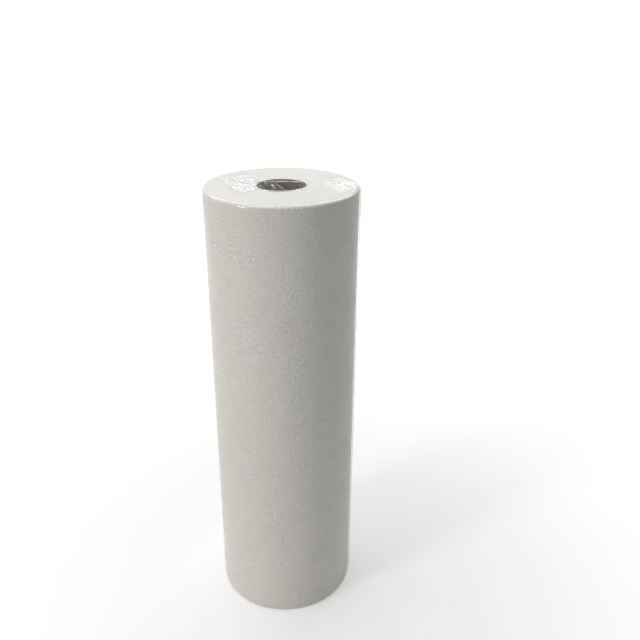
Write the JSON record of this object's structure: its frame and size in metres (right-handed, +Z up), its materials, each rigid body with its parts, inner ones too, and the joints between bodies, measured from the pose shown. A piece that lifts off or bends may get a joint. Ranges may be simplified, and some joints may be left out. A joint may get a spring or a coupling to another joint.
{
  "type": "exam table paper roll",
  "caption": "Roll of creped exam table paper wound on a cardboard core, shrink-wrapped in clear film with an open eye over each end of the bore.",
  "frame": {"origin": "bottom centre, on the axis of the core at the level that the roll stands on", "axes": "+Z up along the core; +X towards the side seal of the film; the picture's view looks along +Y"},
  "size_m": [0.1609, 0.1606, 0.5015],
  "materials": {
    "cardboard": "plain wound board",
    "tissue": "white creped and embossed tissue",
    "film": "clear glossy shrink film"
  },
  "bodies": {
    "root": {"core_tube": "cardboard", "paper_roll": "tissue", "shrink_film": "film"}
  },
  "joints": []
}
